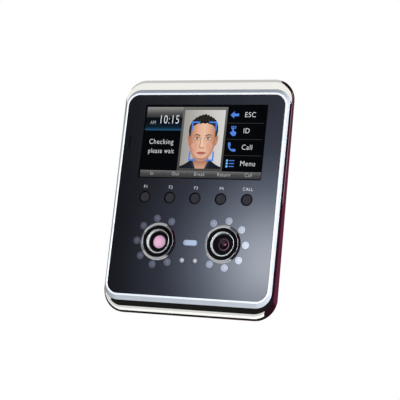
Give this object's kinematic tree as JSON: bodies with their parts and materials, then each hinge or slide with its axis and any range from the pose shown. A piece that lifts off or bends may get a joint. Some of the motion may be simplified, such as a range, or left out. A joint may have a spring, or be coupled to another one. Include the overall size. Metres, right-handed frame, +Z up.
{
  "type": "face recognition access terminal",
  "caption": "Wall-mounted face recognition access terminal with a colour touch screen, round function keys, infrared-lit cameras, a chrome side band and a rear wall bracket.",
  "frame": {"origin": "centre of the wall bracket's back face, where it meets the wall", "axes": "+Z up, +Y into the wall, the front panel looks towards -Y, +X to the right as seen from the front"},
  "size_m": [0.134, 0.0512, 0.1764],
  "materials": {
    "front_glass": "polished, near black",
    "satin_silver": "satin, with a polished lip",
    "bright_chrome": "mirror polished",
    "cover_plastic": "fine spark texture",
    "seal_rubber": "matt",
    "black_tape": "foam tape",
    "chassis_plastic": "moulded",
    "touch_glass": "smooth",
    "display_glass": "lit screen",
    "backlight_tray": "stamped",
    "flex_amber": "film",
    "key_plastic": "semi gloss",
    "plunger_plastic": "moulded",
    "switch_plastic": "moulded",
    "board_green": "solder mask",
    "camera_black": "satin black",
    "filter_pink": "interference coated",
    "lens_glass": "coated, dark",
    "infrared_window": "infrared clear, visibly dark",
    "led_epoxy": "clear",
    "light_guide": "milky",
    "sensor_plastic": "clear over dark",
    "die_cast": "as cast",
    "shield_steel": "tinned",
    "connector_metal": "plated",
    "terminal_green": "moulded",
    "mesh_black": "woven wire",
    "zinc_steel": "zinc plated sheet",
    "screw_steel": "plated"
  },
  "bodies": {
    "case": {"front_panel": "front_glass", "front_bezel": "satin_silver", "side_band": "bright_chrome", "parting_seal": "seal_rubber", "panel_adhesive": "black_tape", "front_chassis": "chassis_plastic", "touch_panel": "touch_glass", "lcd_gasket": "black_tape", "display_panel": "display_glass", "display_backlight": "backlight_tray", "display_flex": "flex_amber", "key_switches": "switch_plastic", "key_board": "board_green", "camera_bezel_left": "bright_chrome", "camera_bezel_right": "bright_chrome", "camera_trims": "camera_black", "lens_rings": "bright_chrome", "lens_barrel_left": "camera_black", "lens_barrel_right": "camera_black", "ir_filter": "filter_pink", "lens_left": "lens_glass", "lens_right": "lens_glass", "camera_boards": "board_green", "infrared_windows": "infrared_window", "infrared_leds": "led_epoxy", "illuminator_board": "board_green", "status_light_pipe": "light_guide", "status_led": "led_epoxy", "sensor_windows": "sensor_plastic", "proximity_sensors": "switch_plastic", "mid_frame": "die_cast", "main_board": "board_green", "processor_shield": "shield_steel", "ethernet_jack": "connector_metal", "terminal_blocks": "terminal_green", "usb_port": "connector_metal", "backup_cell": "shield_steel", "speaker": "switch_plastic", "speaker_mesh": "mesh_black", "microphone": "connector_metal", "rf_antenna": "board_green", "tamper_switch": "switch_plastic", "rear_cover": "cover_plastic", "wall_bracket": "zinc_steel", "case_screws": "screw_steel", "frame_screws": "screw_steel", "board_screws": "screw_steel", "lock_screw": "screw_steel"},
    "key_f1": {"key_f1": "key_plastic", "plunger_f1": "plunger_plastic"},
    "key_f2": {"key_f2": "key_plastic", "plunger_f2": "plunger_plastic"},
    "key_f3": {"key_f3": "key_plastic", "plunger_f3": "plunger_plastic"},
    "key_f4": {"key_f4": "key_plastic", "plunger_f4": "plunger_plastic"},
    "key_call": {"key_call": "key_plastic", "plunger_call": "plunger_plastic"},
    "tamper": {"tamper_plunger": "light_guide"}
  },
  "joints": [
    {"name": "key_f1_press", "type": "slide", "parent": "case", "child": "key_f1", "axis": [0, 1, 0], "range_m": [0, 0.0005], "stiffness_N_per_m": 3000, "springref_m": -0.00015},
    {"name": "key_f2_press", "type": "slide", "parent": "case", "child": "key_f2", "axis": [0, 1, 0], "range_m": [0, 0.0005], "stiffness_N_per_m": 3000, "springref_m": -0.00015},
    {"name": "key_f3_press", "type": "slide", "parent": "case", "child": "key_f3", "axis": [0, 1, 0], "range_m": [0, 0.0005], "stiffness_N_per_m": 3000, "springref_m": -0.00015},
    {"name": "key_f4_press", "type": "slide", "parent": "case", "child": "key_f4", "axis": [0, 1, 0], "range_m": [0, 0.0005], "stiffness_N_per_m": 3000, "springref_m": -0.00015},
    {"name": "key_call_press", "type": "slide", "parent": "case", "child": "key_call", "axis": [0, 1, 0], "range_m": [0, 0.0005], "stiffness_N_per_m": 3000, "springref_m": -0.00015},
    {"name": "tamper_press", "type": "slide", "parent": "case", "child": "tamper", "axis": [0, -1, 0], "range_m": [0, 0.0008], "stiffness_N_per_m": 600, "springref_m": -0.0015}
  ]
}
